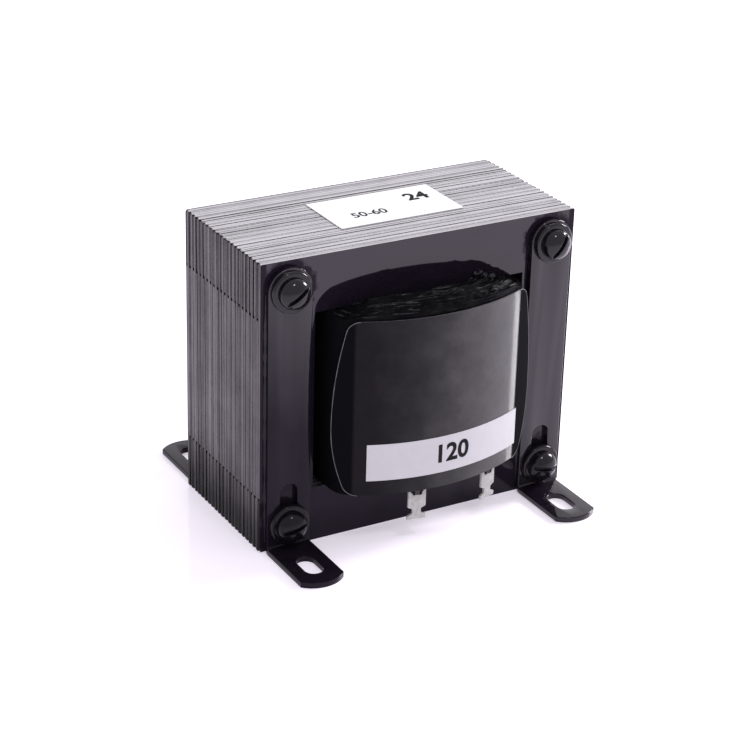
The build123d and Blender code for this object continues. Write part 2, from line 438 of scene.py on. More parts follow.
def coverFinish(look):
    finish = Finish("coil_cover")
    folds = finish.grain((9.0, 9.0, 50.0), detail=3.0)
    weave = finish.grain(0.5, detail=2.0)
    crease = finish.grain((2.2, 2.2, 1.4), detail=3.0, warp=0.6)
    smudge = finish.grain(9.0, detail=6.0, roughness=0.7)
    bent = finish.bump(folds, 0.10 * mm, 0.6)
    bent = finish.bump(crease, 0.035 * mm, 0.6, onto=bent)
    bent = finish.bump(weave, 0.02 * mm, 0.4, onto=bent)
    x = finish.parts(finish.place)[0]
    reach = abs(x) / (look["paintedSheenBand"] * 1.1)
    inside = finish.ramp(reach, (0.89, 1.0), (0.915, 0.0))  # painted shade: outside the band the sides are painted darker and duller
    tone = finish.blend(inside, (0.003, 0.003, 0.0035, 1), finish.blend(smudge, look["dark"], look["light"]))
    # Painted shade: the coat weakens from the right towards the left
    paintedSheenSpread = finish.ramp(x / look["paintedSheenBand"] * 0.5 + 0.5 + (smudge - 0.5) * 0.25, (0.1, 0.05), (0.36, 0.3),
                         (0.6, 0.8), (0.78, 1.0))
    rough = 0.26 + smudge * 0.14 + (1 - inside) * 0.5
    return finish.close({"Base Color": tone, "Roughness": rough, "Normal": bent,
                         "Specular IOR Level": 0.05, "Specular Tint": (0.9, 0.82, 1.0, 1),
                         "Coat Weight": inside * paintedSheenSpread * (0.8 + smudge * 0.7), "Coat Roughness": 0.085})


def marginFinish():
    finish = Finish("margin_paper")
    turn = finish.node("ShaderNodeAttribute", {"attribute_name": "turn"}, output="Fac")
    along = finish.node("ShaderNodeAttribute", {"attribute_name": "along"}, output="Fac")
    spot = finish.node("ShaderNodeCombineXYZ", None, {0: turn * 2.1, 1: along / 17.0, 2: 0.0})
    streak = finish.node("ShaderNodeTexNoise", None, {"Vector": spot, "Scale": 1.0, "Detail": 3.0,
                                                      "Roughness": 0.6, "Distortion": 0.15})
    crest = finish.ramp(streak, (0.57, 0.0), (0.6, 1.0), (0.63, 0.0))
    lumps = finish.grain(1.6, detail=4.0, roughness=0.6)
    wet = finish.ramp(finish.grain(4.5, detail=2.0), (0.45, 0.0), (0.6, 1.0))
    tone = finish.blend(lumps, (0.002, 0.002, 0.0025, 1), (0.0042, 0.004, 0.0048, 1))
    tone = finish.blend(crest * lumps * 1.5, tone, (0.075, 0.071, 0.079, 1))  # worn crests of the turns
    bent = finish.bump(streak, 0.3 * mm, 0.7)
    return finish.close({"Base Color": tone, "Roughness": 0.5 - wet * 0.1 + (lumps - 0.5) * 0.2,
                         "Normal": finish.bump(lumps, 0.05 * mm, 0.6, onto=bent), "Specular IOR Level": 0.02,
                         "Coat Weight": wet * 0.05, "Coat Roughness": 0.25})


def plainFinish(name, dark, light, roughness, grain, relief, shine=0.5):
    finish = Finish(name)
    fibres = finish.grain(grain, detail=4.0, roughness=0.6)
    return finish.close({"Base Color": finish.blend(fibres, dark, light),
                         "Roughness": roughness + (fibres - 0.5) * 0.2, "Specular IOR Level": shine,
                         "Normal": finish.bump(fibres, relief * mm, 0.5)})


lugPlaces = (11.8 * mm, 5.0 * mm)  # the lugs stand at 11.8 mm from the middle, give or take 5 mm


# Tin on the lugs, black varnish on the tail that goes into the coil
def lugFinish(edge):
    finish = Finish("tinned_metal")
    dull = finish.grain(1.2, detail=4.0, roughness=0.6)
    fine = finish.grain(0.3, detail=2.0)
    x, _, z = finish.parts(finish.place)
    apart = abs(abs(abs(x) - lugPlaces[0]) - lugPlaces[1])
    above = finish.calc("GREATER_THAN", z + (dull - 0.5) * 0.6 * mm, edge)
    bare = 1 - finish.calc("LESS_THAN", apart, 1.35 * mm) * above
    metal = finish.blend(dull, (0.26, 0.26, 0.255, 1), (0.60, 0.60, 0.59, 1))
    return finish.close({"Base Color": finish.blend(bare, (0.008, 0.008, 0.009, 1), metal),
                         "Metallic": bare * 0.35, "Roughness": 0.35 + bare * 0.2 + (fine - 0.5) * 0.2,
                         "Normal": finish.bump(dull + fine * 0.4, 0.12 * mm, 0.8)})


def copperFinish():
    finish = Finish("copper_wire")
    height = finish.parts(finish.place)[2]
    wire = finish.calc("SQRT", finish.calc("PINGPONG", height / (0.9 * mm), 0.5) * 2)
    tone = finish.blend(wire, (0.16, 0.05, 0.02, 1), (0.72, 0.34, 0.16, 1))
    return finish.close({"Base Color": tone, "Metallic": 0.8, "Roughness": 0.3 + finish.grain(2.0) * 0.2,
                         "Normal": finish.bump(wire, 0.3 * mm, 0.8)})


varnishLooks = {
    # name: colour, roughness, ripple and peel in mm, coat at the feet and higher up, lean, bare spots
    "black_varnish": ((0.0062, 0.0044, 0.008, 1), 0.08, 0.10, 0.02, (0.05, 0.92), 0.42),
    "face_varnish": ((0.0077, 0.0056, 0.0099, 1), 0.06, 0.10, 0.01, (0.0, 0.8), 0.2,
                     {"x": 39.7 * mm, "z": 33.3 * mm, "radius": 8.2 * mm, "beside": 45.9 * mm}),
    "head_varnish": ((0.0042, 0.0037, 0.005, 1), 0.2, 0.10, 0.05, (0.2, 0.55), 0.3),
}
plainLooks = {
    # name: dark, light, roughness, grain in mm, relief in mm, shine
    # Pale cut paper edge, partly a painted highlight along the sheets' rims
    "cover_edge": ((0.03, 0.028, 0.034, 1), (0.16, 0.152, 0.168, 1), 0.5, 1.6, 0.02),
    "kraft_paper": ((0.30, 0.19, 0.10, 1), (0.50, 0.36, 0.22, 1), 0.75, (0.5, 0.5, 6.0), 0.05),
    "wedge_fibre": ((0.20, 0.05, 0.03, 1), (0.38, 0.12, 0.08, 1), 0.55, (0.4, 0.4, 5.0), 0.04),
    "label_paper": ((0.80, 0.80, 0.82, 1), (0.86, 0.86, 0.88, 1), 0.45, 2.5, 0.01),
    # The same paper as the top label, painted darker: painted shade on the upright coil label
    "coil_label_paper": ((0.52, 0.51, 0.54, 1), (0.58, 0.57, 0.60, 1), 0.6, 2.5, 0.01, 0.2),
    "label_ink": ((0.008, 0.008, 0.009, 1), (0.02, 0.02, 0.021, 1), 0.7, 0.8, 0.005, 0.08),
}
steel = steelFinish(steelLook)
varnish, faceVarnish, headVarnish = (varnishFinish(name, *look) for name, look in varnishLooks.items())
coverEdgeHighlight, kraft, fibre, labelFilm, shadedCoilLabel, ink = (
    plainFinish(name, *look) for name, look in plainLooks.items())
cover = coverFinish(coverLook)
margin = marginFinish()
copper = copperFinish()
tin = lugFinish(coilLow.z - 2.4 * mm)

# Each CAD node's finish, by how its name starts
nodeFinishes = {
    steel: ("lamination_book",),
    varnish: ("bracket_", "clamp_", "screw_"),
    cover: ("coil_wrap", "cover_sheet"),
    margin: ("end_margin",),
    kraft: ("winding_",),
    copper: ("inner_", "outer_winding"),
    fibre: ("tongue_wedges",),
    tin: ("supply_lugs", "output_lugs"),
    labelFilm: ("coil_label", "top_label"),
}
for finish, starts in nodeFinishes.items():
    for name in nodes:
        if name.startswith(starts):
            nodes[name].data.materials.clear()
            nodes[name].data.materials.append(finish)
print("finishes")


# A plate with its outline in X and Z, holes as further loops, between two places in Y
def slab(loops, front, back):
    shape = bmesh.new()
    for loop in loops:
        ring = [shape.verts.new((x, front, z)) for x, z in loop]
        for index, corner in enumerate(ring):
            shape.edges.new((ring[index - 1], corner))
    bmesh.ops.triangle_fill(shape, use_beauty=True, edges=shape.edges[:])
    lifted = bmesh.ops.extrude_face_region(shape, geom=shape.faces[:])["geom"]
    corners = [item for item in lifted if isinstance(item, bmesh.types.BMVert)]
    bmesh.ops.translate(shape, vec=(0, back - front, 0), verts=corners)
    return outward(shape)


def circleLoop(centre, radius, count):
    return [(centre[0] + radius * math.cos(2 * math.pi * step / count),
             centre[1] + radius * math.sin(2 * math.pi * step / count)) for step in range(count)]


# Cuts each corner of a loop back by a small nick, as shears leave it
def nicked(loop, nick):
    cut = []
    for index, corner in enumerate(loop):
        here = Vector(corner)
        for other in (loop[index - 1], loop[(index + 1) % len(loop)]):
            cut.append(tuple(here + (Vector(other) - here).normalized() * nick))
    return cut


stack = {
    "stampings": 84,
    "perGroup": 2,
    "jitter": 0.05 * mm,
    "gap": 0.025 * mm,
    "yoke": 15.875 * mm,
    "tongue": 31.75 * mm,
    "jointGap": 0.26 * mm,
    "setBackTop": 0.04 * mm,
    "setBackSide": 0.14 * mm,
    "nick": 0.14 * mm,
    "closingNick": 0.42 * mm,
    "sink": 0.20 * mm,
    "boltInset": 7.94 * mm,
    "boltHole": 2.59 * mm,
    "skinThickness": 0.06 * mm,
    "skinNick": 0.5 * mm,
    "filmInset": 0.6 * mm,
    "seed": 11,
}
boltX = coreHigh.x - stack["boltInset"]
boltRows = (coreHigh.z - stack["boltInset"], coreLow.z + stack["boltInset"])
boltPlaces = [(side * boltX, row) for row in boltRows for side in (-1, 1)]


# Half sizes from the core's middle: across and up to the outside, to the legs, the tongue and the yokes
def coreHalves(size, inset=0.0):
    high = (coreHigh.z - coreLow.z) / 2
    return (coreHigh.x - size["jitter"] - inset, high - size["jitter"] - inset,
            coreHigh.x - size["yoke"] + inset, size["tongue"] / 2 - inset, high - size["yoke"] + inset)


def stampingOutlines(size):
    wide, tall, inner, tongue, shoulder = coreHalves(size)
    eLoop = [(-wide, tall), (wide, tall), (wide, -shoulder), (inner, -shoulder), (inner, shoulder),
             (tongue, shoulder), (tongue, -shoulder), (-tongue, -shoulder), (-tongue, shoulder),
             (-inner, shoulder), (-inner, -shoulder), (-wide, -shoulder)]
    end, near, far = wide - size["setBackSide"], -shoulder - size["jointGap"], -tall + size["setBackTop"]
    iLoop = [(-end, near), (end, near), (end, far), (-end, far)]
    holes = [circleLoop((side * boltX, end * (boltRows[0] - coreMid.z)), size["boltHole"], 16)
             for end in (1, -1) for side in (-1, 1)]
    return [nicked(eLoop, size["nick"])] + holes[:2], [nicked(iLoop, size["closingNick"])] + holes[2:]


def stackTree():
    tree = Growth("stacked_core", {
        "Full Stamping": "object", "Closing Stamping": "object", "Stampings": "whole", "Pitch": "number",
        "Per Group": "whole", "Jitter": "number", "Sink": "number", "Seed": "whole", "Finish": "material"})
    given = tree.given
    line = tree.node("GeometryNodeMeshLine", None,
                     {"Count": given["Stampings"],
                      "Offset": tree.node("ShaderNodeCombineXYZ", None, {1: given["Pitch"]})})
    index = tree.node("GeometryNodeInputIndex")
    group = tree.calc("FLOOR", (index + 0.5) / given["Per Group"])
    turned = tree.calc("FLOORED_MODULO", group, 2.0) * math.pi
    turn = tree.node("ShaderNodeCombineXYZ", None, {1: turned})
    layers = []
    for step, source in enumerate(("Full Stamping", "Closing Stamping")):
        slack = tree.node("FunctionNodeRandomValue", {"data_type": "FLOAT_VECTOR"},
                          {0: (-1, 0, -0.9), 1: (1, 0, 0.2), "ID": index, "Seed": given["Seed"] + step})
        chance = tree.node("FunctionNodeRandomValue", {"data_type": "FLOAT"},
                           {2: -1.0, 3: 1.0, "ID": index, "Seed": given["Seed"] + 20 + step}, output=1)
        sunk = tree.node("ShaderNodeCombineXYZ", None, {2: chance ** 10.0 * given["Sink"] * -1.0})
        shift = tree.vector("ADD", tree.vector("SCALE", slack, given["Jitter"], "Scale"), sunk)
        moved = tree.node("GeometryNodeSetPosition", None, {"Geometry": line, "Offset": shift})
        layers.append(tree.node("GeometryNodeInstanceOnPoints", None,
                                {"Points": moved, "Instance": tree.piece(source), "Rotation": turn}))
    joined = tree.node("GeometryNodeJoinGeometry", None, {0: layers})
    shade = tree.node("FunctionNodeRandomValue", {"data_type": "FLOAT"},
                      {2: 0.0, 3: 1.0, "Seed": given["Seed"] + 5}, output=1)
    marked = tree.node("GeometryNodeStoreNamedAttribute", {"data_type": "FLOAT", "domain": "INSTANCE"},
                       {"Geometry": joined, "Name": "shade", "Value": shade})
    return tree.close(marked)


def buildCore(size):
    pitch = 2 * coreFace / size["stampings"]
    fullLoops, closingLoops = stampingOutlines(size)
    full = fromBmesh("full_stamping", slab(fullLoops, 0, pitch - size["gap"]))
    closing = fromBmesh("closing_stamping", slab(closingLoops, 0, pitch - size["gap"]))
    core = newObject("core_stampings", bpy.data.meshes.new("core_stampings"))
    grow(core, stackTree(), {
        "Full Stamping": full, "Closing Stamping": closing, "Stampings": size["stampings"], "Pitch": pitch,
        "Per Group": size["perGroup"], "Jitter": size["jitter"], "Sink": size["sink"], "Seed": size["seed"],
        "Finish": steel})
    discard(full, closing)
    core.data.transform(Matrix.Translation((0, -coreFace + size["gap"] / 2, coreMid.z)))
    return settle(core, "core_steel", *coreNodes)


buildCore(stack)
print("core stampings")


# Varnish that closes the joints on the front and rear faces, and a film between the two middle stampings
def buildSkin(name, size, front, back, inset=0.0):
    wide, tall, inner, tongue, shoulder = coreHalves(size, inset)
    mid = coreMid.z
    outer = [(-wide, mid - tall), (wide, mid - tall), (wide, mid + tall), (-wide, mid + tall)]
    windows = [[(side * inner, mid - shoulder), (side * tongue, mid - shoulder),
                (side * tongue, mid + shoulder), (side * inner, mid + shoulder)] for side in (-1, 1)]
    holes = [circleLoop(place, size["boltHole"] + inset, 24) for place in boltPlaces]
    loops = [nicked(outer, size["skinNick"])] + windows + holes
    skin = fromBmesh(name, slab(loops, front, back), faceVarnish)
    settle(skin, "core_steel")


buildSkin("face_skin_front", stack, -coreFace, -coreFace + stack["skinThickness"])
buildSkin("face_skin_rear", stack, coreFace, coreFace - stack["skinThickness"])
buildSkin("middle_film", stack, -stack["gap"] / 2, stack["gap"] / 2, stack["filmInset"])
print("face skins")


# Bevelled copies of CAD nodes, which then aren't shown
softened = {
    # finish: (slot, bevel width, segments, {piece: node})
    varnish: ("black_varnish", 0.35 * mm, 3, {
        "bracket_fl": "bracket_front_left", "bracket_fr": "bracket_front_right",
        "bracket_rl": "bracket_rear_left", "bracket_rr": "bracket_rear_right"}),
    tin: ("tinned_metal", 0.12 * mm, 2, {"lugs_front": "supply_lugs", "lugs_rear": "output_lugs"}),
}
edgeAngle = 40


def soften(name, source, width, segments, finish, slot):
    shape = bmesh.new()
    shape.from_mesh(nodes[source].data)
    bmesh.ops.remove_doubles(shape, verts=shape.verts[:], dist=0.001 * mm)
    bmesh.ops.dissolve_limit(shape, angle_limit=math.radians(1.0), verts=shape.verts[:], edges=shape.edges[:])
    piece = worked(fromBmesh(name, shape, finish), ("BEVEL", {
        "width": width, "segments": segments, "limit_method": "ANGLE", "angle_limit": math.radians(edgeAngle),
        "use_clamp_overlap": True}))
    return settle(smoothByAngle(piece, edgeAngle), slot, source)


for finish, (slot, width, segments, pairs) in softened.items():
    for name, source in pairs.items():
        soften(name, source, width, segments, finish, slot)
print("brackets and lugs")


# Turns a profile of (radius, place along Y) about the Y axis
def lathed(profile, count):
    shape = bmesh.new()
    rings = []
    for radius, along in profile:
        if radius < 1e-9:
            rings.append([shape.verts.new((0, along, 0))])
        else:
            rings.append([shape.verts.new((radius * math.cos(2 * math.pi * step / count), along,
                                           radius * math.sin(2 * math.pi * step / count)))
                          for step in range(count)])
    for near, far in zip(rings, rings[1:]):
        for step in range(count):
            corners = [near[step % len(near)], near[(step + 1) % len(near)],
                       far[(step + 1) % len(far)], far[step % len(far)]]
            shape.faces.new(list(dict.fromkeys(corners)))
    return outward(shape)


screwSet = {
    "stripThickness": 1.6 * mm,
    "washerThickness": 1.6 * mm,
    "washerRadius": 5.74 * mm,
    "washerEdge": 0.55 * mm,
    "washerHole": 2.29 * mm,
    "headRadius": 4.3 * mm,
    "headHeight": 3.45 * mm,
    "headRim": 0.7 * mm,
    "headFoot": 0.97,
    "slotWidth": 1.15 * mm,
    "slotDepth": 1.5 * mm,
    "slotTurns": (-35, -55, -14, 10),
    "shankRadius": 2.08 * mm,
    "threadPitch": 0.79 * mm,
    "threadDepth": 0.35 * mm,
    "threadStart": 0.5 * mm,
    "tail": 1.6 * mm,
    "tailEnd": 0.85,
    "nutFlats": 8.73 * mm,
    "nutThickness": 3.2 * mm,
    "nutChamfer": 0.45 * mm,
    "nutBore": 0.9,
    "nutTurns": (12, 40, 27, 5),
    "headBevel": 0.14 * mm,
    "nutBevel": 0.12 * mm,
    "bevelAngle": 38,
    "segments": 48,
}
screwSeat = -coreFace - screwSet["stripThickness"] - screwSet["washerThickness"]
nutSeat = coreFace + screwSet["stripThickness"]


def headShape(size):
    radius, height, rim = size["headRadius"], size["headHeight"], size["headRim"]
    dome = [(radius * math.cos(turn), screwSeat - rim - (height - rim) * math.sin(turn))
            for turn in (math.radians(angle) for angle in range(0, 90, 10))]
    shank, pitch = size["shankRadius"], size["threadPitch"]
    profile = [(0, screwSeat - height)] + dome[::-1]
    profile += [(radius * size["headFoot"], screwSeat), (shank, screwSeat)]
    along = nutSeat - size["threadStart"]
    while along < nutSeat + size["nutThickness"] + size["tail"] - pitch:
        profile += [(shank, along), (shank - size["threadDepth"], along + pitch / 2)]
        along += pitch
    profile += [(shank * size["tailEnd"], along), (0, along)]
    return lathed(profile, size["segments"])


def boltTree():
    tree = Growth("bolt_set", {"Piece": "object", "Finish": "material"})
    turn = tree.node("GeometryNodeInputNamedAttribute", {"data_type": "FLOAT"}, {"Name": "turn"})
    return tree.close(tree.node("GeometryNodeInstanceOnPoints", None, {
        "Points": tree.given["Geometry"], "Instance": tree.piece("Piece"),
        "Rotation": tree.node("ShaderNodeCombineXYZ", None, {1: turn})}))


def onBolts(name, piece, turns, node, finish=varnish):
    shape = bmesh.new()
    for x, z in boltPlaces:
        shape.verts.new((x, 0, z))
    base = fromBmesh(name, shape)
    marks = base.data.attributes.new("turn", "FLOAT", "POINT")
    for mark, turn in zip(marks.data, turns):
        mark.value = math.radians(turn)
    grow(base, boltTree(), {"Piece": piece, "Finish": finish})
    discard(piece)
    smoothByAngle(base, 35)
    return settle(base, "black_varnish", node)


def cutAndBevelled(piece, cutter, operation, width):
    tool = fromBmesh("cutter", cutter)
    cut = ("BOOLEAN", {"object": tool, "operation": operation, "solver": "EXACT"})
    bevel = ("BEVEL", {"width": width, "segments": 2, "limit_method": "ANGLE",
                       "angle_limit": math.radians(screwSet["bevelAngle"])})
    worked(piece, cut, bevel)
    discard(tool)
    return piece


def buildScrews(size):
    cutter = bmesh.new()
    slot = Matrix.Diagonal((4 * size["headRadius"], 2 * size["slotDepth"], size["slotWidth"], 1))
    place = Matrix.Translation((0, screwSeat - size["headHeight"], 0))
    bmesh.ops.create_cube(cutter, size=1.0, matrix=place @ slot)
    head = cutAndBevelled(fromBmesh("screw_shape", headShape(size)), cutter, "DIFFERENCE", size["headBevel"])
    onBolts("screws", head, size["slotTurns"], "clamp_screws", headVarnish)


def buildWashers(size):
    edge, far = size["washerEdge"], screwSeat + size["washerThickness"]
    profile = [(size["washerHole"], far), (size["washerHole"], screwSeat)]
    profile += [(size["washerRadius"] - edge * (1 - math.sin(turn)), screwSeat + edge * (1 - math.cos(turn)))
                for turn in (math.radians(angle) for angle in range(0, 91, 30))]
    profile += [(size["washerRadius"], far), (size["washerHole"], far)]
    washer = fromBmesh("washer_shape", lathed(profile, size["segments"]))
    onBolts("washers", washer, (0, 0, 0, 0), "screw_washers", headVarnish)


def buildNuts(size):
    corner = size["nutFlats"] / 2 / math.cos(math.pi / 6)
    loops = [circleLoop((0, 0), corner, 6), circleLoop((0, 0), size["shankRadius"] * size["nutBore"], 24)]
    nut = fromBmesh("nut_shape", slab(loops, nutSeat, nutSeat + size["nutThickness"]))
    far, cut = nutSeat + size["nutThickness"], size["nutChamfer"]
    cone = [(0, nutSeat - mm), (corner * 1.1, nutSeat - mm), (corner * 1.02, far - cut),
            (corner - 1.8 * cut, far), (0, far)]
    cutAndBevelled(nut, lathed(cone, size["segments"]), "INTERSECT", size["nutBevel"])
    onBolts("nuts", nut, size["nutTurns"], "clamp_nuts")


buildScrews(screwSet)
buildWashers(screwSet)
buildNuts(screwSet)
print("screws, washers and nuts")


coilForm = {
    "crown": 56.5 * mm,
    "corner": 6.5 * mm,
    "wrap": 1.0 * mm,
    "tubeX": 17.375 * mm,
    "tubeY": 24.225 * mm,
    "tongueX": 15.9 * mm,
    "tubeCorner": 0.8 * mm,
    "tongueCorner": 0.5 * mm,
    "flatRadius": 2260 * mm,
}


# Half a crowned section, from the left side round the front to the right: (point, length from the apex)
def frontPath(halfWidth, halfDepth, crown, corner, steps=16):
    cornerX, crownY = halfWidth - corner, crown - halfDepth
    cornerY = crownY - math.sqrt((crown - corner) ** 2 - cornerX ** 2)
    lean = math.asin(cornerX / (crown - corner))
    down = 1.5 * math.pi
    arcs = [(Vector((-cornerX, cornerY)), corner, math.pi, down - lean),
            (Vector((0, crownY)), crown, down - lean, down + lean),
            (Vector((cornerX, cornerY)), corner, down + lean, 2 * math.pi)]
    spots = [Vector((-halfWidth, 0))]
    for centre, radius, start, end in arcs:
        for step in range(steps + 1):
            turn = start + (end - start) * step / steps
            spots.append(centre + radius * Vector((math.cos(turn), math.sin(turn))))
    spots.append(Vector((halfWidth, 0)))
    reached, path = 0.0, []
    for before, here in zip([spots[0]] + spots, spots):
        reached += (here - before).length
        path.append((here, reached))
    return [(here, along - reached / 2) for here, along in path]


def onPath(path, along):
    for (near, start), (far, end) in zip(path, path[1:]):
        if along <= end and end > start:
            return near.lerp(far, max(0.0, (along - start) / (end - start)))
    return path[-1][0]


coverSheet = {
    "thickness": 0.35 * mm,
    "lift": 0.12 * mm,
    "reachLeft": 29.9 * mm,
    "reachRight": 31.1 * mm,
    "bow": 3.7 * mm,
    "widestAt": 36.0 * mm,
    "corner": 2.6 * mm,
    "rows": 48,
    "columns": 72,
    "rim": 0.13 * mm,
    "rimSteps": 90,
}
crownMid = coilForm["crown"] - coilHigh.y


# A point on the cover sheet: along the crown from the apex, up the coil, and lifted off the sheet
def onCover(along, z, lift):
    turn = along / coilForm["crown"]
    reach = coilForm["crown"] + coverSheet["lift"] + lift
    return Vector((reach * math.sin(turn), crownMid - reach * math.cos(turn), z))


def crownLength(x):
    return coilForm["crown"] * math.asin(x / coilForm["crown"])


# How far the sheet's left (-1) or right (1) edge is from the apex
def edgeAt(side, z):
    size = coverSheet
    end = coilHigh.z if z > size["widestAt"] else coilLow.z
    share = (z - size["widestAt"]) / (end - size["widestAt"])
    inset = max(0.0, size["corner"] - abs(end - z))
    rounding = size["corner"] - math.sqrt(max(0.0, size["corner"] ** 2 - inset ** 2))
    reach = size["reachLeft"] if side < 0 else size["reachRight"]
    return side * crownLength(reach - size["bow"] * share * share - rounding)


def spaced(low, high, share):
    return low + (high - low) * (0.5 - 0.5 * math.cos(math.pi * share))


def sheetBetween(name, low, high, edges, lift, rows, columns, thickness, finish, edgeFinish):
    shape = bmesh.new()
    grid = []
    for row in range(rows + 1):
        z = spaced(low, high, row / rows)
        start, end = edges(z)
        grid.append([shape.verts.new(onCover(start + (end - start) * column / columns, z, lift))
                     for column in range(columns + 1)])
    for lower, upper in zip(grid, grid[1:]):
        for column in range(columns):
            shape.faces.new((lower[column], lower[column + 1], upper[column + 1], upper[column]))
    piece = fromBmesh(name, outward(shape), finish, smooth=True)
    piece.data.materials.append(edgeFinish)
    worked(piece, ("SOLIDIFY", {"thickness": thickness, "offset": 1.0, "use_even_offset": True,
                                "material_offset_rim": 1}))
    return smoothByAngle(piece, edgeAngle)


def turnedBack(piece, name):
    made = newObject(name, piece.data.copy())
    made.data.transform(Matrix.Rotation(math.pi, 4, "Z"))
    return made


# Torn edge that stands up along a cover sheet's two sides, pale partly as cut paper and partly as a painted
# highlight
def coverRims(size):
    curve = bpy.data.curves.new("cover_rims", "CURVE")
    curve.dimensions = "3D"
    curve.bevel_depth = size["rim"]
    curve.bevel_resolution = 2
    curve.use_fill_caps = True
    for side in (-1, 1):
        spline = curve.splines.new("POLY")
        spline.points.add(size["rimSteps"])
        for step, point in enumerate(spline.points):
            z = spaced(coilLow.z, coilHigh.z, step / size["rimSteps"])
            uneven = 0.5 * noise.noise(Vector((side * 9, 2, z / mm * 0.35)))
            spot = onCover(edgeAt(side, z), z, size["thickness"] + size["rim"] * (0.2 + uneven))
            point.co = (*spot, 1)
            point.radius = 0.85 + uneven
    source = newObject("cover_rims", curve)
    mesh = finalMesh(source)
    discard(source)
    mesh.materials.append(coverEdgeHighlight)
    mesh.shade_smooth()
    return newObject("rims_front", mesh)


def buildCovers(size):
    rims = coverRims(size)
    settle(turnedBack(rims, "rims_rear"), "coil_cover")
    settle(rims, "coil_cover")
    front = sheetBetween("cover_front", coilLow.z, coilHigh.z, lambda z: (edgeAt(-1, z), edgeAt(1, z)), 0.0,
                         size["rows"], size["columns"], size["thickness"], cover, coverEdgeHighlight)
    rear = turnedBack(front, "cover_rear")
    settle(front, "coil_cover", "cover_sheet_front")
    settle(rear, "coil_cover", "cover_sheet_rear")


buildCovers(coverSheet)

coilLabel = {
    "from": -21.5 * mm,
    "to": 25.6 * mm,
    "low": 4.3 * mm,
    "height": 10.6 * mm,
    "thickness": 0.12 * mm,
    "number": "120",
    "numberHeight": 5.5 * mm,
    "numberWeight": 0.03,
    "numberX": 2.0 * mm,
    "numberRise": 5.6 * mm,
    "filmGap": 0.02 * mm,
    "inkGap": 0.05 * mm,
}


def lettering(body, height, weight):
    curve = bpy.data.curves.new("lettering", "FONT")
    curve.body = body
    curve.align_x, curve.align_y = "CENTER", "CENTER"
    curve.size = 1.0
    curve.offset = weight
    curve.resolution_u = 4
    text = newObject("lettering", curve)
    shape = bmesh.new()
    shape.from_mesh(finalMesh(text))
    discard(text)
    rises = [vert.co.y for vert in shape.verts]
    tall = max(rises) - min(rises)
    middle = min(rises) + tall / 2
    for vert in shape.verts:
        vert.co = Vector((vert.co.x, vert.co.y - middle, 0)) * (height / tall)
    bmesh.ops.remove_doubles(shape, verts=shape.verts[:], dist=0.001 * mm)
    return shape


# Cuts a flat shape into narrow strips, so that it can bend round the coil
def sliced(shape, step):
    reach = max(abs(v.co.x) for v in shape.verts)
    for index in range(-int(reach / step), int(reach / step) + 1):
        bmesh.ops.bisect_plane(shape, geom=shape.verts[:] + shape.edges[:] + shape.faces[:],
                               plane_co=(index * step, 0, 0), plane_no=(1, 0, 0))
    return shape


def buildCoilLabel(size):
    low = coilLow.z + size["low"]
    start, end = crownLength(size["from"]), crownLength(size["to"])
    strip = sheetBetween("coil_label_strip", low, low + size["height"], lambda z: (start, end),
                         coverSheet["thickness"] + size["filmGap"], 4, 48, size["thickness"],
                         shadedCoilLabel, shadedCoilLabel)
    settle(strip, "label_paper", "coil_label")
    digits = sliced(lettering(size["number"], size["numberHeight"], size["numberWeight"]), mm)
    lift = coverSheet["thickness"] + size["thickness"] + size["inkGap"]
    middle = crownLength(size["numberX"])
    for vert in digits.verts:
        vert.co = onCover(middle + vert.co.x, low + size["numberRise"] + vert.co.y, lift)
    settle(fromBmesh("coil_number", digits, ink), "label_paper")


buildCoilLabel(coilLabel)
print("cover sheets and coil label")


paperEnds = {
    "turns": 8,
    "steps": 160,
    "rows": 76,
    "depth": 2.6 * mm,
    "inset": 0.1 * mm,
    "cover": 0.05 * mm,
    "proud": 1.7 * mm,
    "proudReach": 2.6 * mm,
    "proudWidth": 28.0 * mm,
    "proudSlope": 7.0 * mm,
    "ridge": 1.0 * mm,
    "ridgeRun": 15,  # mm along a turn from one worn stretch to the next
    "wander": 0.8,
    "lumps": 0.14 * mm,
    "fray": 0.55 * mm,
    "frayShare": 0.32,
    "faceGap": 0.02 * mm,
    "lap": 0.01 * mm,
}


def eased(value):
    share = min(1.0, max(0.0, value))
    return share * share * (3 - 2 * share)


# Height of the soaked paper over the coil's flat end; share goes from the outer turn to the tongue
def paperHeight(size, spot, share, along, seed):
    ahead = abs(spot.y) - coreFace
    inwards = size["proudWidth"] - abs(spot.x)
    rise = size["proud"] * eased(ahead / size["proudReach"]) * eased(inwards / size["proudSlope"])
    place = Vector((spot.x, spot.y, seed * mm)) / mm
    wander = size["wander"] * (noise.noise(place * 0.1) + 0.3 * noise.noise(place * 0.3))
    turn = share * size["turns"] + wander
    whole = math.floor(turn)
    worn = 0.55 + noise.noise(Vector((along / mm / size["ridgeRun"], whole * 3.7, seed)))
    ridge = (1 - abs(2 * (turn - whole) - 1)) ** 1.5 * max(0.1, worn)
    lump = noise.noise(place * 0.35) + 0.4 * noise.noise(place * 0.9)
    rough = size["ridge"] * ridge + size["lumps"] * lump
    height = rise + rough * eased(share * 9) * (0.5 + 0.5 * eased(ahead / mm))
    torn = noise.noise(place * 0.55 + Vector((7, 3, 1))) + 0.6 * noise.noise(place * 1.7)
    height += (size["fray"] * torn * eased(share * 14) * eased((size["frayShare"] - share) * 6)
               * eased(ahead / (2 * mm)))
    if ahead < 0.3 * mm and abs(spot.x) > coilForm["tongueX"]:
        height = min(height, coreHigh.z - stack["yoke"] - coilHigh.z - size["inset"])  # stays under the yoke
    return max(size["cover"], height + size["cover"]), turn


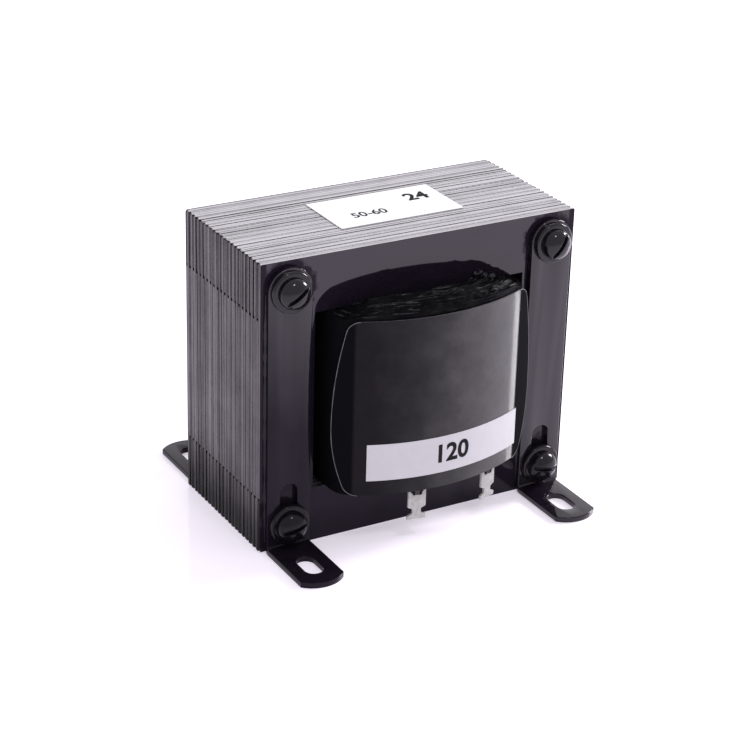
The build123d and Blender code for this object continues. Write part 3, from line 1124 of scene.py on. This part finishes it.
# Soaked paper turns of the coil's end as one closed crust, top end up
def buildPaperEnd(name, size, seed, standing):
    size = {**size, "proud": size["proud"] * standing, "fray": size["fray"] * standing}
    form, inset = coilForm, size["inset"]
    crown, corner, wrap, flat = form["crown"], form["corner"], form["wrap"], form["flatRadius"]
    paths = [frontPath(coilHigh.x - inset, coilHigh.y - inset, crown, corner),
             frontPath(coilHigh.x - wrap, coilHigh.y - wrap, crown - wrap, corner - wrap),
             frontPath(form["tubeX"], form["tubeY"], flat, form["tubeCorner"]),
             frontPath(form["tongueX"], coreFace + size["faceGap"], flat, form["tongueCorner"])]

    def loop(path):
        length = 2 * path[-1][1]
        return [onPath(path, (step / size["steps"] - 0.5) * length) * half
                for half in (1, -1) for step in range(size["steps"])]

    outer, inWrap, tube, tongue = (loop(path) for path in paths)
    outerLength = 2 * paths[0][-1][1]
    shape = bmesh.new()
    turnMark, alongMark = (shape.verts.layers.float.new(name) for name in ("turn", "along"))
    rings = []
    for row in range(size["rows"] + 1):
        share = row / size["rows"]
        ring = []
        for index, (far, near) in enumerate(zip(outer, tongue)):
            spot = far.lerp(near, share)
            along = index / size["steps"] * outerLength
            height, turn = paperHeight(size, spot, share, along, seed)
            vert = shape.verts.new((spot.x, spot.y, coilHigh.z + height))
            vert[turnMark], vert[alongMark] = turn, along / mm
            ring.append(vert)
        rings.append(ring)
    over, low = coilHigh.z + size["lap"], coilHigh.z - size["depth"]
    for spots, z in ((tongue, over), (tube, over), (tube, low), (inWrap, low), (inWrap, over), (outer, over)):
        rings.append([shape.verts.new((spot.x, spot.y, z)) for spot in spots])
    bridge(shape, rings + rings[:1])
    return smoothByAngle(fromBmesh(name, outward(shape), margin), 60)


def buildPaperEnds(size):
    settle(buildPaperEnd("paper_end_top", size, 3, 1.0), "margin_paper", "end_margin_top")
    bottom = buildPaperEnd("paper_end_bottom", {**size, "ridge": size["ridge"] / 3}, 8, 0.0)
    lifted, lowered = (Matrix.Translation((0, 0, side * coilMidZ)) for side in (1, -1))
    bottom.data.transform(lifted @ Matrix.Rotation(math.pi, 4, "X") @ lowered)
    settle(bottom, "margin_paper", "end_margin_bottom")


buildPaperEnds(paperEnds)
print("paper ends")


# Varnish that set in the corners beside the strips and on the coil's end
varnishRuns = {
    "stripEdges": (33.335 * mm, 46.035 * mm),
    "low": 3.0 * mm,
    "high": 74.5 * mm,
    "size": 0.55 * mm,
    "steps": 90,
    "section": [(-0.3, -0.1), (1.0, -0.1), (0.95, 0.05), (0.5, 0.3), (0.2, 0.62), (0.02, 1.0), (-0.3, 1.0)],
    "drops": [
        # x, y, height over the coil's end, size across, size upwards
        (16.4, -22.7, 1.0, 0.9, 2.1), (17.9, -22.6, 1.6, 0.8, 1.9), (19.4, -22.7, 1.0, 1.0, 1.6),
        (21.3, -22.9, 0.7, 1.3, 1.3), (15.0, -22.9, 0.7, 0.8, 1.2), (23.6, -23.4, 0.0, 1.3, 0.8),
        (20.5, -24.9, 0.5, 1.4, 0.8),
    ],
}


# A bead along one edge of a strip: side is left or right, front is -1 on the front face and 1 at the rear
def addRun(shape, size, edge, away, side, front):
    rings = []
    for step in range(size["steps"] + 1):
        z = size["low"] + (size["high"] - size["low"]) * step / size["steps"]
        place = Vector((edge / mm + side * 7, front * 5, z / mm))
        reach = size["size"] * (0.75 + 0.6 * noise.noise(place * 0.35) + 0.3 * noise.noise(place * 1.3))
        reach *= eased(6 * min(step, size["steps"] - step) / size["steps"]) + 0.15
        rings.append([shape.verts.new((side * (edge + away * across * reach),
                                       front * (coreFace + out * reach), z))
                      for across, out in size["section"]])
    bridge(shape, rings)
    shape.faces.new(rings[0])
    shape.faces.new(rings[-1])


def buildRuns(size):
    shape = bmesh.new()
    for edge, away in zip(size["stripEdges"], (-1, 1)):
        for side, front in ((-1, -1), (-1, 1), (1, -1), (1, 1)):
            addRun(shape, size, edge, away, side, front)
    settle(smoothByAngle(fromBmesh("varnish_runs", outward(shape), headVarnish), 50), "black_varnish")


def buildDrops(size):
    shape = bmesh.new()
    for x, y, rise, wide, tall in size["drops"]:
        made = bmesh.ops.create_icosphere(shape, subdivisions=4, radius=1.0)["verts"]
        for vert in made:
            bumpy = 1 + 0.5 * noise.noise(vert.co * 1.8 + Vector((x, y, rise)))
            vert.co = Vector((vert.co.x * wide * bumpy + x, vert.co.y * wide * 0.7 * bumpy + y,
                              vert.co.z * tall * bumpy + rise + coilHigh.z / mm)) * mm
    settle(fromBmesh("varnish_drops", shape, headVarnish, smooth=True), "black_varnish")


buildRuns(varnishRuns)
buildDrops(varnishRuns)
print("varnish runs and drops")


topLabel = {
    # part: text, height, weight, place across and along from the label's middle
    "large": ("24", 5.2 * mm, 0.03, 11.5 * mm, 3.2 * mm),
    "small": ("50-60", 3.4 * mm, 0.015, -6.5 * mm, -3.0 * mm),
}
printLift = 0.03 * mm


def buildTopPrint(size):
    low, high = span("top_label")
    middle = (low + high) / 2
    for part, (words, height, weight, across, along) in size.items():
        shape = lettering(words, height, weight)
        for vert in shape.verts:
            vert.co += Vector((middle.x + across, middle.y + along, high.z + printLift))
        settle(fromBmesh("top_number_" + part, shape, ink), "label_paper")


buildTopPrint(topLabel)
print("top label")
